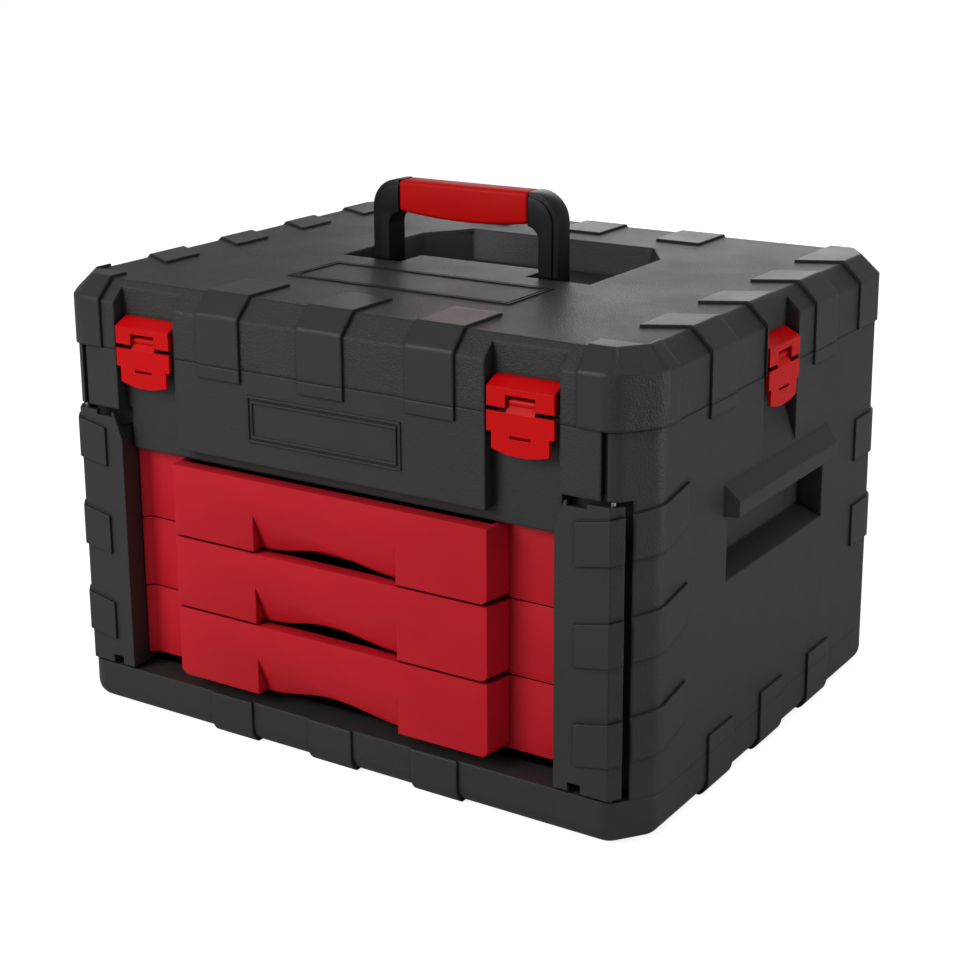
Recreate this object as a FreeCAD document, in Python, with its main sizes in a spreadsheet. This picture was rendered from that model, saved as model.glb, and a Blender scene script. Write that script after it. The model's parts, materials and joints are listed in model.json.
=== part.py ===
import FreeCAD, Part
import Sketcher
import math
import os

# A portable tool chest with a hinged lid, three drawers behind two locking flaps,
# four latches and a folding handle. Millimetres, +Z up.
# While a piece is drawn, y is the distance behind the chest's front face and z the height
# above the table. Each piece is then moved by front_y, which centres the chest on the origin.

doc = FreeCAD.newDocument("ToolChest")

SIZES = {
    # The chest as a whole
    "chest_width": 440,
    "chest_depth": 364,
    "base_height": 29,
    "parting_height": 252.5,
    "lid_height": 44,
    "corner_cut_x": 18.5,
    "corner_cut_y": 25,
    "corner_round": 14,
    "wall": 3.2,
    "seam_gap": 0.3,
    "front_proud": 3,
    # Raised pads that wrap over the edges
    "pad_rise": 1.6,
    "pad_width": 34,
    "pad_pitch": 80,
    "pad_reach": 52,
    "pad_drop": 8.5,
    "side_pad_pitch": 75,
    "side_pad_inset": 39,
    "side_pad_lean": 14,
    "side_pad_shift": 9,
    "corner_pad_reach": 41,
    "post_pad_pitch": 61.5,
    # Lid
    "lid_chamfer": 13,
    "basin_width": 196,
    "basin_front": 155,
    "basin_rear": 286,
    "basin_depth": 22,
    "basin_corner_x": 26,
    "basin_corner_y": 36,
    "basin_strip": 26,
    "basin_lean": 6,
    "lid_plate_width": 171,
    "lid_plate_depth": 54,
    "lid_plate_front": 78,
    "plate_line": 1.5,
    "plate_rise": 0.8,
    # Lid hinge
    "hinge_axis_out": 6,
    "knuckle_radius": 5.5,
    "hinge_pin_radius": 2.5,
    "knuckle_place": 130,
    "knuckle_middle": 30,
    "knuckle_side": 14,
    # Handle
    "handle_width": 140,
    "handle_leg_width": 13,
    "handle_leg_depth": 16,
    "handle_top": 352,
    "handle_corner": 17,
    "handle_inner_corner": 9,
    "handle_pivot_height": 287,
    "grip_width": 102,
    "grip_depth": 18,
    "grip_low": 331,
    "grip_high": 349.5,
    "grip_belly": 3.3,
    "core_low": 334.5,
    "core_high": 346,
    "core_depth": 11,
    "handle_pin_radius": 2.5,
    # Body
    "header_low": 184.5,
    "header_depth": 9,
    "panel_half": 118,
    "panel_low": 193,
    "pillar_low": 212,
    "groove_x": 194,
    "groove_width": 4,
    "floor_height": 189,
    "jamb_depth": 20,
    "bay_half": 168,
    "body_plate_width": 117,
    "body_plate_height": 30,
    "body_plate_low": 207.2,
    # Side grips
    "ledge_out": 9,
    "ledge_low": 177.6,
    "ledge_high": 198,
    "ledge_face": 9.8,
    "ledge_half": 78,
    "ledge_bevel": 3.6,
    "grip_pocket_low": 134,
    "grip_pocket_half": 72.5,
    "grip_pocket_depth": 17,
    "grip_pocket_rise": 7.6,
    # Latches
    "latch_width": 45,
    "channel_gap": 2.5,
    "latch_x": 142.5,
    "latch_proud": 2,
    "latch_bracket_low": 257.5,
    "latch_bracket_face": 11.5,
    "latch_notch": 20,
    "latch_notch_top": 265,
    "latch_pivot_height": 260.2,
    "latch_pivot_depth": 3,
    "latch_pin_radius": 1.2,
    "latch_knuckle_radius": 2.8,
    "latch_lever_top": 254.7,
    "latch_ear_low": 242.7,
    "latch_lever_low": 232.5,
    "latch_lever_bow": 3.1,
    "latch_plate_inset": 3.2,
    "latch_plate_thick": 2.5,
    "latch_catch_out": 2.8,
    # Locking flaps
    "flap_inner": 165,
    "flap_low": 31,
    "flap_top": 209.3,
    "flap_out": 1.5,
    "flap_thick": 3,
    "flap_return": 14,
    "flap_pivot_x": 199.8,
    "flap_pivot_y": 4.2,
    "flap_knuckle_radius": 3.4,
    "flap_knuckle_length": 12,
    "flap_pin_radius": 1.5,
    # Base pan
    "base_round": 12,
    "screw_radius": 2,
    "screw_head_radius": 4,
    "screw_length": 34,
    "screw_sink": 8,
    "screw_inset": 19,
    "boss_radius": 5.5,
    "boss_height": 22,
    # Drawers
    "drawer_pitch": 48.8,
    "drawer_gap": 0.8,
    "drawers_top": 182.9,
    "drawer_side_gap": 0.6,
    "flange_setback": 17.8,
    "flange_thick": 3,
    "flange_fold": 4.6,
    "front_box_half": 120.3,
    "front_box_draft": 3.7,
    "front_box_low": 3.6,
    "drawer_wall": 2.4,
    "bin_half": 156,
    "bin_rear_gap": 26,
    "bin_low": 2,
    "pull_half": 55,
    "pull_drop": 23,
    "pull_depth": 11,
    "pull_low": 8,
    "rib_drop": 3.4,
    "rib_height": 2.6,
    "rib_gap": 0.3,
    "insert_height": 7,
    "insert_gap": 0.3,
    "runner_thick": 3,
    "runner_ledge": 1.8,
    # Clearances
    "pin_gap": 0.05,
    "press_gap": 0.01,
    "moving_gap": 0.3,
}


class Size:
    """A length that keeps its number and the spreadsheet formula that it comes from."""

    def __init__(self, value, formula):
        self.value = value
        self.formula = formula

    def __add__(self, other):
        other = as_size(other)
        return Size(self.value + other.value, f"({self.formula} + {other.formula})")

    def __radd__(self, other):
        return as_size(other) + self

    def __sub__(self, other):
        other = as_size(other)
        return Size(self.value - other.value, f"({self.formula} - {other.formula})")

    def __rsub__(self, other):
        return as_size(other) - self

    def __mul__(self, other):
        other = as_size(other)
        return Size(self.value * other.value, f"({self.formula} * {other.formula})")

    def __rmul__(self, other):
        return self * other

    def __truediv__(self, other):
        other = as_size(other)
        return Size(self.value / other.value, f"({self.formula} / {other.formula})")

    def __neg__(self):
        return Size(-self.value, f"(-1 * {self.formula})")


def as_size(number):
    if isinstance(number, Size):
        return number
    return Size(float(number), f"({number:.6f})")


def root(size):
    return Size(math.sqrt(size.value), f"sqrt({size.formula})")


def make_sheet():
    sheet = doc.addObject("Spreadsheet::Sheet", "Sizes")
    for row, (name, value) in enumerate(SIZES.items(), start=1):
        sheet.set(f"A{row}", name)
        sheet.set(f"B{row}", str(value))
        sheet.setAlias(f"B{row}", name)
    doc.recompute()
    return sheet


make_sheet()


class Named:
    """The driving sizes by name."""


size = Named()
for alias, number in SIZES.items():
    setattr(size, alias, Size(float(number), f"Sizes.{alias}"))

half_width = size.chest_width / 2
depth = size.chest_depth
mid_depth = size.chest_depth / 2
lid_top = size.parting_height + size.lid_height
lid_low = size.parting_height + size.seam_gap
front_y = -1 * (depth + size.hinge_axis_out + size.knuckle_radius - size.front_proud) / 2
FAR = 40
OVER = 1


def new_body(name):
    body = doc.addObject("PartDesign::Body", name)
    body.Label = name
    body.AllowCompound = True
    return body


PLANES = {"top": "XY_Plane", "front": "XZ_Plane", "side": "YZ_Plane"}


def add_ring(sketch, ring):
    across, up, radius = ring.across, ring.up, ring.radius
    centre = FreeCAD.Vector(across.value, up.value, 0)
    circle = sketch.addGeometry(Part.Circle(centre, FreeCAD.Vector(0, 0, 1), radius.value), False)
    hold = sketch.addConstraint(Sketcher.Constraint("Radius", circle, radius.value))
    sketch.setExpression(f"Constraints[{hold}]", radius.formula)
    hold_point(sketch, circle, 3, across, up)


def hold_point(sketch, shape, end, across, up):
    """Pin one point of a drawn shape at its place, measured from the sketch's origin."""
    for kind, value in (("DistanceX", across), ("DistanceY", up)):
        hold = sketch.addConstraint(Sketcher.Constraint(kind, -1, 1, shape, end, value.value))
        sketch.setExpression(f"Constraints[{hold}]", value.formula)


class Ring:
    """A circle in a sketch."""

    def __init__(self, across, up, radius):
        self.across = as_size(across)
        self.up = as_size(up)
        self.radius = as_size(radius)


def add_outline(sketch, outline):
    """Draw a closed outline. A point with a third entry starts an arc of that radius."""
    points = []
    for entry in outline:
        bend = as_size(entry[2]) if len(entry) == 3 else None
        points.append((as_size(entry[0]), as_size(entry[1]), bend))
    ends = []
    for index, (across, up, bend) in enumerate(points):
        after = points[(index + 1) % len(points)]
        start = FreeCAD.Vector(across.value, up.value, 0)
        finish = FreeCAD.Vector(after[0].value, after[1].value, 0)
        if bend is None:
            shape = sketch.addGeometry(Part.LineSegment(start, finish), False)
            ends.append((shape, 1, 2))
            continue
        chord = finish - start
        rise = math.sqrt(max(bend.value ** 2 - (chord.Length / 2) ** 2, 0))
        normal = FreeCAD.Vector(-chord.y, chord.x, 0).normalize()
        side = 1 if bend.value > 0 else -1
        centre = start + chord * 0.5 + normal * rise * side
        circle = Part.Circle(centre, FreeCAD.Vector(0, 0, 1), abs(bend.value))
        first, last = (start, finish) if side > 0 else (finish, start)
        low = math.atan2(first.y - centre.y, first.x - centre.x)
        high = math.atan2(last.y - centre.y, last.x - centre.x)
        shape = sketch.addGeometry(Part.ArcOfCircle(circle, low, high), False)
        hold = sketch.addConstraint(Sketcher.Constraint("Radius", shape, abs(bend.value)))
        sketch.setExpression(f"Constraints[{hold}]", f"abs({bend.formula})")
        ends.append((shape, 1, 2) if side > 0 else (shape, 2, 1))
    for index, (across, up, bend) in enumerate(points):
        shape, begin, _ = ends[index]
        before, _, finish = ends[index - 1]
        sketch.addConstraint(Sketcher.Constraint("Coincident", before, finish, shape, begin))
        hold_point(sketch, shape, begin, across, up)


def draw(body, plane, outlines, level):
    """A sketch on one of the body's own planes, moved along that plane's normal."""
    sketch = body.newObject("Sketcher::SketchObject", f"{body.Name}_sketch")
    role = PLANES[plane]
    base = [item for item in body.Origin.OriginFeatures if item.Role == role][0]
    sketch.AttachmentSupport = [(base, "")]
    sketch.MapMode = "FlatFace"
    sketch.setExpression("AttachmentOffset.Base.z", as_size(level).formula)
    for outline in outlines:
        if isinstance(outline, Ring):
            add_ring(sketch, outline)
        else:
            add_outline(sketch, outline)
    return sketch


def prism(body, kind, plane, outlines, low, high, taper=None):
    """Add or cut straight prisms from low to high along the axis square to the plane."""
    low = as_size(low)
    high = as_size(high)
    level = -high if plane == "front" else low
    sketch = draw(body, plane, outlines, level)
    feature = body.newObject(f"PartDesign::{kind}", f"{body.Name}_{kind.lower()}")
    feature.Profile = sketch
    feature.setExpression("Length", (high - low).formula)
    feature.Refine = False
    if kind == "Pocket":
        feature.Reversed = True
    if taper is not None:
        feature.setExpression("TaperAngle", taper.formula)
    sketch.Visibility = False
    body.Tip = feature
    return feature


def pad(body, plane, outlines, low, high):
    return prism(body, "Pad", plane, outlines, low, high)


def cut(body, plane, outlines, low, high):
    return prism(body, "Pocket", plane, outlines, low, high)


def box(x0, x1, y0, y1):
    """A rectangle as an outline."""
    return [(x0, y0), (x1, y0), (x1, y1), (x0, y1)]


def mirrored(outline):
    """The same outline on the other side of the middle plane."""
    flipped = []
    count = len(outline)
    for index in range(count - 1, -1, -1):
        entry = outline[index]
        bend = outline[index - 1][2:]
        flipped.append((-1 * as_size(entry[0]), entry[1]) + tuple(bend))
    return flipped


def both(outline):
    return [outline, mirrored(outline)]


def dress(body, kind, prop, value, picker):
    """A fillet or chamfer on the edges that the picker chooses."""
    doc.recompute()
    base = body.Tip
    names = [f"Edge{number}" for number, edge in enumerate(base.Shape.Edges, start=1) if picker(edge)]
    if not names:
        raise RuntimeError(f"{body.Name}: no edges for {kind}")
    feature = body.newObject(f"PartDesign::{kind}", f"{body.Name}_{kind.lower()}")
    feature.Base = (base, names)
    feature.setExpression(prop, as_size(value).formula)
    body.Tip = feature
    return feature


def fillet(body, radius, picker):
    return dress(body, "Fillet", "Radius", radius, picker)


def chamfer(body, length, picker):
    return dress(body, "Chamfer", "Size", length, picker)


def combine(body, kind, tool):
    """Fuse, cut or intersect a body with another one."""
    feature = body.newObject("PartDesign::Boolean", f"{body.Name}_{kind.lower()}")
    feature.Type = kind
    feature.setObjects([tool])
    body.Tip = feature
    return feature


def near(value, target, reach=0.01):
    return abs(value - as_size(target).value) < reach


def ends_of(edge):
    return [vertex.Point for vertex in edge.Vertexes]


def upright(edge):
    points = ends_of(edge)
    return len(points) == 2 and abs(points[0].z - points[1].z) > 1


def level_at(edge, height):
    return all(near(point.z, height) for point in ends_of(edge))


nodes = {}


def finish(body, name, place=None, turn=0):
    """Move a finished piece into the chest's frame and keep it under its own name."""
    body.Label = name
    if hasattr(body.Tip, "Refine"):
        body.Tip.Refine = True
    place = tuple(place or ()) + (0, 0, 0)[len(place or ()):]
    body.Placement.Rotation = FreeCAD.Rotation(FreeCAD.Vector(0, 0, 1), turn)
    body.setExpression("Placement.Base.x", as_size(place[0]).formula)
    body.setExpression("Placement.Base.y", (as_size(place[1]) + front_y).formula)
    body.setExpression("Placement.Base.z", as_size(place[2]).formula)
    nodes[name] = body


# The outline that the lid, body and base share: a rectangle with four cut corners.

def plan(grow=0, bend=None):
    """The chest seen from above, with its walls moved out by grow and kept parallel."""
    grow = as_size(grow)
    cut_x, cut_y = size.corner_cut_x, size.corner_cut_y
    slant = root(cut_x * cut_x + cut_y * cut_y)
    near_front = (slant - cut_x) / cut_y
    near_side = (slant - cut_y) / cut_x
    bend = size.corner_round + grow if bend is None else as_size(bend)
    side = half_width + grow
    front = -grow
    rear = depth + grow
    cut_x = cut_x + grow - grow * near_front
    cut_y = cut_y + grow - grow * near_side
    step_x = size.corner_cut_x / slant
    step_y = size.corner_cut_y / slant
    first = bend * near_front
    second = bend * near_side
    corner = [
        (side - cut_x - first, front, bend),
        (side - cut_x + first * step_x, front + first * step_y),
        (side - second * step_x, front + cut_y - second * step_y, bend),
        (side, front + cut_y + second),
    ]
    right = corner + turned_back(corner, rear + front)
    return right + mirrored(right)


def turned_back(outline, span):
    """The same stretch of outline at the rear corner, drawn the other way round."""
    return [
        (outline[3][0], span - outline[3][1], outline[2][2]),
        (outline[2][0], span - outline[2][1]),
        (outline[1][0], span - outline[1][1], outline[0][2]),
        (outline[0][0], span - outline[0][1]),
    ]


def walls_block(name, grow, low, high):
    """A block with the chest's outline and rounded upright edges."""
    body = new_body(name)
    pad(body, "top", [plan(grow)], low, high)
    return body


def pad_columns():
    """The upright strips that the raised pads of lid, rim and base keep to."""
    half = size.pad_width / 2
    columns = []
    for place in (-1, 0, 1):
        middle = size.pad_pitch * place
        columns.append(box(middle - half, middle + half, -FAR, size.pad_reach))
        columns.append(box(middle - half, middle + half, depth - size.pad_reach, depth + FAR))
    return columns


def side_columns(places, lean, shift=0):
    """The strips over the two sides. On the lid's top they lean towards the front."""
    half = size.pad_width / 2
    edge = half_width - size.lid_chamfer
    inner = half_width - size.side_pad_inset
    columns = []
    for place in places:
        middle = mid_depth + size.side_pad_pitch * place - shift
        outline = [
            (half_width + FAR, middle - half),
            (half_width + FAR, middle + half),
            (edge, middle + half),
            (inner, middle + half - lean),
            (inner, middle - half - lean),
            (edge, middle - half),
        ]
        columns += both(outline)
    return columns


def corner_columns():
    """The strips round the four corners of the lid."""
    inner = half_width - size.corner_pad_reach
    edge = half_width - size.lid_chamfer
    front = [
        (inner, -FAR),
        (half_width + FAR, -FAR),
        (half_width + FAR, size.corner_pad_reach),
        (edge, size.corner_pad_reach),
        (edge, size.lid_chamfer * 2),
        (inner, size.lid_chamfer * 2),
    ]
    rear_start = depth - size.corner_pad_reach - size.corner_cut_x
    rear = [
        (half_width + FAR, rear_start),
        (half_width + FAR, depth + FAR),
        (inner, depth + FAR),
        (inner, rear_start - size.side_pad_lean),
        (edge, rear_start),
    ]
    return both(front) + both(rear)


# Lid

def lid_form(name, grow, low, high, slope):
    """The lid's outside: upright walls under a wide chamfer."""
    body = new_body(name)
    pad(body, "top", [plan(grow)], low, high)
    chamfer(body, slope, lambda edge: level_at(edge, high))
    return body


def basin_outline(grow=0):
    half = size.basin_width / 2
    front = size.basin_front + size.basin_strip
    return [
        (-half - grow, front - grow),
        (half + grow, front - grow),
        (half + grow, size.basin_rear - size.basin_corner_y),
        (half - size.basin_corner_x, size.basin_rear + grow),
        (-half + size.basin_corner_x, size.basin_rear + grow),
        (-half - grow, size.basin_rear - size.basin_corner_y),
    ]


leg_outer = size.handle_width / 2
leg_inner = leg_outer - size.handle_leg_width
strip_half = leg_inner - 7
basin_floor = lid_top - size.basin_depth
pivot_y = size.basin_front + 2 + size.handle_leg_depth / 2
pivot_z = size.handle_pivot_height


def leg_bay(grow=0):
    """The place where one handle leg stands, beside the strip of lid between the legs."""
    half = size.basin_width / 2
    return box(strip_half - grow, half + grow, size.basin_front - grow,
               size.basin_front + size.basin_strip + 12)


def channel_x(side, grow=0):
    middle = size.latch_x * side
    half = size.latch_width / 2 + size.channel_gap + grow
    return middle - half, middle + half


def side_channel(grow, depth_in):
    """A latch channel in the chest's side, seen from above."""
    half = size.latch_width / 2 + size.channel_gap + grow
    return box(half_width - depth_in, half_width + FAR, mid_depth - half, mid_depth + half)


def plate_frame(body, plane, middle, low, width, height, level, outward):
    """Two nested raised lines round a bare name plate."""
    line = size.plate_line
    rings = []
    for step in (0, 2):
        inset = line * step
        inner = inset + line
        half = width / 2
        rings.append(box(middle - half + inset, middle + half - inset, low + inset, low + height - inset))
        rings.append(box(middle - half + inner, middle + half - inner, low + inner, low + height - inner))
    rise = size.plate_rise * outward
    first, last = (level - 0.5, level + rise) if outward > 0 else (level + rise, level + 0.5)
    pad(body, plane, rings, first, last)


def knuckle_profile(above):
    """A hinge knuckle and the web that ties it to the rear wall, seen from the side."""
    axis_y = depth + size.hinge_axis_out
    axis_z = size.parting_height
    radius = size.knuckle_radius
    way = 1 if above else -1
    seam = axis_z + size.seam_gap * way
    web = [
        (depth - 1, seam),
        (axis_y + radius * 0.9, seam),
        (axis_y + radius * 0.9, axis_z + radius * 0.43 * way),
        (depth - 1, axis_z + radius * 3.2 * way),
    ]
    return web if above else web[::-1]


def hinge_knuckles(body, spans, above):
    axis_y = depth + size.hinge_axis_out
    for low, high in spans:
        for side in (-1, 1):
            middle = size.knuckle_place * side
            pad(body, "side", [knuckle_profile(above)], middle + low, middle + high)
            ring = Ring(axis_y, size.parting_height, size.knuckle_radius)
            pad(body, "side", [ring], middle + low, middle + high)


def hinge_bores(body, gap):
    axis_y = depth + size.hinge_axis_out
    reach = size.knuckle_middle / 2 + size.knuckle_side + OVER
    ring = Ring(axis_y, size.parting_height, size.hinge_pin_radius + gap)
    for side in (-1, 1):
        middle = size.knuckle_place * side
        cut(body, "side", [ring], middle - reach, middle + reach)


def make_lid():
    slope = size.lid_chamfer
    inner_slope = slope - size.wall
    inside = lid_form("lid_inside", -size.wall, lid_low - OVER, lid_top - size.wall, inner_slope)
    under = basin_floor - size.wall
    cut(inside, "top", [basin_outline(size.wall)], under, lid_top)
    cut(inside, "top", both(leg_bay(size.wall)), under, lid_top)
    housings = []
    for side in (-1, 1):
        low, high = channel_x(side, size.wall)
        housings.append(box(low, high, -OVER, size.header_depth + size.wall))
    housings += both(side_channel(size.wall, size.header_depth + size.wall))
    cut(inside, "top", housings, lid_low - OVER - OVER, lid_top)

    raised = lid_form("lid_raised", size.pad_rise, lid_low, lid_top + size.pad_rise, slope)
    columns = new_body("lid_columns")
    for outlines in (pad_columns(), side_columns((-1, 0, 1), size.side_pad_lean, size.side_pad_shift), corner_columns()):
        pad(columns, "top", outlines, lid_low - OVER, lid_top + FAR)
    combine(raised, "Common", columns)

    lid = lid_form("lid", 0, lid_low, lid_top, slope)
    combine(lid, "Fuse", raised)
    plate_frame(lid, "top", as_size(0), size.lid_plate_front, size.lid_plate_width,
                size.lid_plate_depth, lid_top, 1)
    half = size.knuckle_middle / 2
    hinge_knuckles(lid, [(-half, half)], above=True)
    combine(lid, "Cut", inside)

    lean = math.degrees(math.atan(size.basin_lean.value / size.basin_depth.value))
    taper = Size(lean, f"atan({size.basin_lean.formula} / {size.basin_depth.formula})")
    prism(lid, "Pocket", "top", [basin_outline(-size.basin_lean)], basin_floor, lid_top + OVER, taper)
    cut(lid, "top", both(leg_bay()), basin_floor, lid_top + OVER)
    channels = []
    for side in (-1, 1):
        low, high = channel_x(side)
        channels.append(box(low, high, -FAR, size.header_depth))
    channels += both(side_channel(0, size.header_depth))
    cut(lid, "top", channels, lid_low - OVER, lid_top + FAR)

    boss = Ring(pivot_y, pivot_z, size.handle_leg_depth / 2 - 1)
    lug = [
        (pivot_y - 6, basin_floor - 1),
        (pivot_y + 6, basin_floor - 1),
        (pivot_y + 6, pivot_z, 6.4),
        (pivot_y - 6, pivot_z),
    ]
    gap = size.moving_gap
    for side in (-1, 1):
        spans = [(strip_half - 1, leg_inner - gap), (leg_outer + gap, leg_outer + gap + 4)]
        for (low, high), shape in zip(spans, (boss, lug)):
            if side < 0:
                low, high = -high, -low
            pad(lid, "side", [shape], low, high)
        bore = Ring(pivot_y, pivot_z, size.handle_pin_radius + size.press_gap)
        low, high = strip_half - size.wall - OVER, leg_outer + gap + 5
        if side < 0:
            low, high = -high, -low
        cut(lid, "side", [bore], low, high)
    hinge_bores(lid, size.pin_gap)
    finish(lid, "lid_shell")


# Body

def post_pad(step):
    """One raised pad of the front corner post, seen from the side. It climbs to the rear."""
    drop = size.post_pad_pitch * step
    return [
        (size.corner_cut_y - 15, 177.2 - drop),
        (size.corner_cut_y + 4, 179.5 - drop),
        (size.corner_cut_y + 33, 188 - drop),
        (size.corner_cut_y + 31, 213 - drop),
        (size.corner_cut_y, 207.5 - drop),
        (size.corner_cut_y - 15, 204.4 - drop),
    ]


def rear_pad(low):
    start = depth - size.corner_pad_reach - size.corner_cut_x + 3
    return box(start, depth + FAR, low, low + 29.5)


def make_body():
    top = size.parting_height
    low = size.base_height
    wall = size.wall
    floor = size.floor_height
    under_floor = floor - wall

    raised = walls_block("body_raised", size.pad_rise, low, top)
    patches = new_body("body_patches")
    rim = top - size.pad_drop
    pad(patches, "top", pad_columns(), rim, top + OVER)
    pad(patches, "top", side_columns((-1, 1), as_size(0), size.side_pad_shift), rim, top + OVER)
    pad(patches, "top", side_columns((-1, 0, 1), as_size(0)), low - OVER, low + 12)
    for step in (0, 1, 2):
        for side in (-1, 1):
            first, last = half_width - size.corner_cut_x + 3, half_width + FAR
            if side < 0:
                first, last = -last, -first
            pad(patches, "side", [post_pad(step)], first, last)
    for side in (-1, 1):
        first, last = half_width - size.corner_cut_x - 8, half_width + FAR
        if side < 0:
            first, last = -last, -first
        pad(patches, "side", [rear_pad(159), rear_pad(97)], first, last)
    combine(raised, "Common", patches)

    cavity = walls_block("body_inside", -1 * wall, low - OVER, top + OVER)
    cut(cavity, "top", [box(-half_width, half_width, -FAR, depth + FAR)], under_floor, floor)
    header = box(-size.bay_half - wall, size.bay_half + wall, -OVER, size.header_depth + wall)
    cut(cavity, "top", [header], floor - OVER, size.panel_low + wall)
    pocket = both(box(size.panel_half - wall, half_width - 5, -OVER, size.jamb_depth + wall))
    cut(cavity, "top", pocket, floor - OVER, size.pillar_low + wall)
    channels = []
    for side in (-1, 1):
        first, last = channel_x(side, wall)
        channels.append(box(first, last, -OVER, size.header_depth + wall))
    channels += both(side_channel(wall, size.header_depth + wall))
    cut(cavity, "top", channels, floor - OVER, top + OVER + OVER)
    jamb = [box(-half_width, half_width, -OVER, size.jamb_depth + wall)]
    cut(cavity, "top", jamb, low - OVER - OVER, under_floor + 0.5)
    grip = [
        (half_width - size.grip_pocket_depth - wall, size.grip_pocket_low - wall),
        (half_width + OVER, size.grip_pocket_low - wall),
        (half_width + OVER, size.ledge_low + wall),
        (half_width - size.grip_pocket_depth - wall, size.ledge_low + wall),
    ]
    half = size.grip_pocket_half + wall
    cut(cavity, "front", both(grip), mid_depth - half, mid_depth + half)

    body = walls_block("body", 0, low, top)
    combine(body, "Fuse", raised)
    plate_frame(body, "front", as_size(0), size.body_plate_low, size.body_plate_width,
                size.body_plate_height, as_size(0), -1)
    ledge = [
        (half_width - 1, mid_depth - size.ledge_half),
        (half_width, mid_depth - size.ledge_half),
        (half_width + size.ledge_out, mid_depth - size.ledge_half + size.ledge_bevel),
        (half_width + size.ledge_out, mid_depth + size.ledge_half - size.ledge_bevel),
        (half_width, mid_depth + size.ledge_half),
        (half_width - 1, mid_depth + size.ledge_half),
    ]
    pad(body, "top", both(ledge), size.ledge_low, size.ledge_high)
    slope = [
        (half_width + size.ledge_out + OVER, size.ledge_low + size.ledge_face - 1.2),
        (half_width + size.ledge_out + OVER, size.ledge_high + OVER),
        (half_width, size.ledge_high + OVER),
        (half_width, size.ledge_high),
    ]
    cut(body, "front", both(slope), mid_depth - size.ledge_half - 5, mid_depth + size.ledge_half + 5)
    half = size.knuckle_middle / 2 + size.moving_gap
    far = half + size.knuckle_side
    hinge_knuckles(body, [(-far, -half), (half, far)], above=False)
    combine(body, "Cut", cavity)

    cut(body, "top", [box(-size.bay_half, size.bay_half, -FAR, size.header_depth)],
        size.header_low, size.panel_low)
    channels = []
    for side in (-1, 1):
        first, last = channel_x(side)
        channels.append(box(first, last, -FAR, size.header_depth))
    cut(body, "top", channels, size.header_low, top + OVER)
    run = [
        (half_width - size.header_depth, top + OVER),
        (half_width - size.header_depth, size.latch_lever_low - 5),
        (half_width, size.ledge_high + 1),
        (half_width + FAR, size.ledge_high + 1),
        (half_width + FAR, top + OVER),
    ]
    half = size.latch_width / 2 + size.channel_gap
    cut(body, "front", both(run), mid_depth - half, mid_depth + half)
    cut(body, "top", [box(-size.bay_half, size.bay_half, -FAR, size.jamb_depth + wall + OVER)],
        low - OVER, size.header_low)
    flap_bay = both(flap_bay_outline())
    cut(body, "top", flap_bay, low - OVER, size.pillar_low)
    groove = both(box(size.groove_x, size.groove_x + size.groove_width, -FAR, 3))
    cut(body, "top", groove, size.pillar_low - OVER, top + OVER)
    pocket = [
        (half_width - size.grip_pocket_depth, size.grip_pocket_low + size.grip_pocket_rise),
        (half_width + OVER, size.grip_pocket_low),
        (half_width + OVER, size.ledge_low),
        (half_width - size.grip_pocket_depth, size.ledge_low),
    ]
    half = size.grip_pocket_half
    cut(body, "front", both(pocket), mid_depth - half, mid_depth + half)

    bosses = []
    for place in screw_places():
        bosses.append(Ring(place[0], place[1], size.boss_radius))
    pad(body, "top", bosses, low, low + size.boss_height)
    webs = []
    for share in screw_shares:
        y = depth * share
        webs += both(box(half_width - size.screw_inset + size.screw_radius + 1, half_width - 1, y - 1.5, y + 1.5))
    pad(body, "top", webs, low, low + size.boss_height - 2)
    holes = [Ring(place[0], place[1], size.screw_radius + size.press_gap) for place in screw_places()]
    cut(body, "top", holes, low - OVER, low + size.boss_height - 2)
    pins = []
    for side in (-1, 1):
        pins.append(Ring(size.flap_pivot_x * side, size.flap_pivot_y, size.flap_pin_radius + size.press_gap))
    cut(body, "top", pins, size.pillar_low - OVER, size.pillar_low + wall + OVER)
    hinge_bores(body, size.press_gap)
    for name, place, turn in latch_places():
        catch_on(body, place, turn)
    finish(body, "body_shell")


def flap_bay_outline():
    """The room in which a locking flap lies and swings, seen from above."""
    edge_x = half_width - size.corner_cut_x
    post_x = edge_x + size.corner_cut_x * 0.41
    post_y = size.corner_cut_y * 0.41
    return [
        (size.flap_inner - OVER, -FAR),
        (post_x + 20, -FAR),
        (post_x, post_y),
        (post_x, size.jamb_depth),
        (size.flap_inner - OVER, size.jamb_depth),
    ]


screw_shares = (0.17, 0.5, 0.83)


def screw_places():
    places = []
    for side in (-1, 1):
        for share in screw_shares:
            places.append(((half_width - size.screw_inset) * side, depth * share))
    return places


def latch_places():
    """Where the latches sit: the name, the place of the wall under each, and its turn."""
    return [
        ("front_left", (-1 * size.latch_x, as_size(0)), 0),
        ("front_right", (size.latch_x, as_size(0)), 0),
        ("side_left", (-1 * half_width, mid_depth), -90),
        ("side_right", (half_width, mid_depth), 90),
    ]


def catch_on(body, place, turn):
    """The ridge on the channel's floor that a latch lever hooks under."""
    top = size.latch_ear_low + 3.6
    low = size.latch_ear_low + 0.3
    inner = size.header_depth + 0.5
    crest = size.header_depth - size.latch_catch_out
    half = 12
    profile = [(inner, low), (crest, low), (crest, low + 1.4), (inner, top)]
    if turn == 0:
        pad(body, "side", [profile], place[0] - half, place[0] + half)
        return
    side = 1 if turn > 0 else -1
    turned = [(place[0] - across * side, up) for across, up in profile]
    if side > 0:
        turned = turned[::-1]
    pad(body, "front", [turned], place[1] - half, place[1] + half)


# Base pan and its screws

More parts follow.
